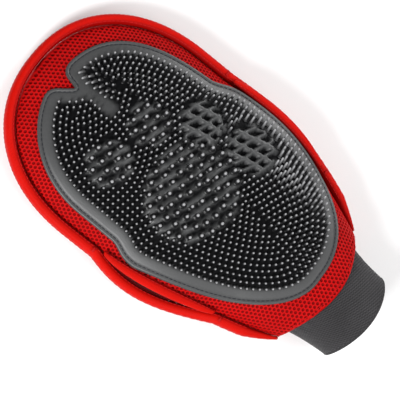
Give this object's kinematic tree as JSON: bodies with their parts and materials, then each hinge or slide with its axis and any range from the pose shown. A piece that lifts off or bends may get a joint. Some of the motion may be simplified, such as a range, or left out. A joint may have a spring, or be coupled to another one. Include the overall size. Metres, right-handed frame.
{
  "type": "pet grooming mitt",
  "caption": "Two-way grooming mitt: a rubber pin pad on a mesh palm, bound edges, an open thumb slot on each side and an elastic cuff.",
  "frame": {"origin": "middle of the flat of the back, under the palm, where the mitt rests", "axes": "+Z out of the palm, the way the pins point; +Y along the hand towards the fingertips; X across the hand"},
  "size_m": [0.1598, 0.2713, 0.0556],
  "materials": {
    "pad_rubber": "satin moulded",
    "dark_thread": "twisted thread",
    "red_mesh": "knitted air mesh",
    "red_fabric": "short brushed pile",
    "red_tape": "satin woven tape",
    "red_thread": "twisted thread",
    "foam": "open cell foam",
    "lining": "plain tricot",
    "cuff_knit": "elastic rib knit"
  },
  "bodies": {
    "mitt": {"palm_mesh_panel": "red_mesh", "palm_foam_layer": "foam", "palm_lining": "lining", "back_panel": "red_fabric", "back_foam_layer": "foam", "back_lining": "lining", "edge_binding": "red_tape", "edge_binding_stitching": "red_thread", "left_slot_binding": "red_tape", "left_slot_stitching": "red_thread", "left_upper_bar_tack": "red_thread", "left_lower_bar_tack": "red_thread", "right_slot_binding": "red_tape", "right_slot_stitching": "red_thread", "right_upper_bar_tack": "red_thread", "right_lower_bar_tack": "red_thread", "rubber_pin_pad": "pad_rubber", "pad_stitching": "dark_thread", "palm_heel_stitching": "red_thread", "back_heel_stitching": "red_thread"},
    "cuff": {"elastic_cuff": "cuff_knit", "cuff_end_hem": "cuff_knit", "cuff_side_seam": "dark_thread"}
  },
  "joints": [
    {"name": "wrist_bend", "type": "hinge", "parent": "mitt", "child": "cuff", "pos_m": [0, -0.108, 0.0295], "axis": [1, 0, 0], "range_deg": [-20, 12], "stiffness_Nm_per_rad": 0.15}
  ]
}
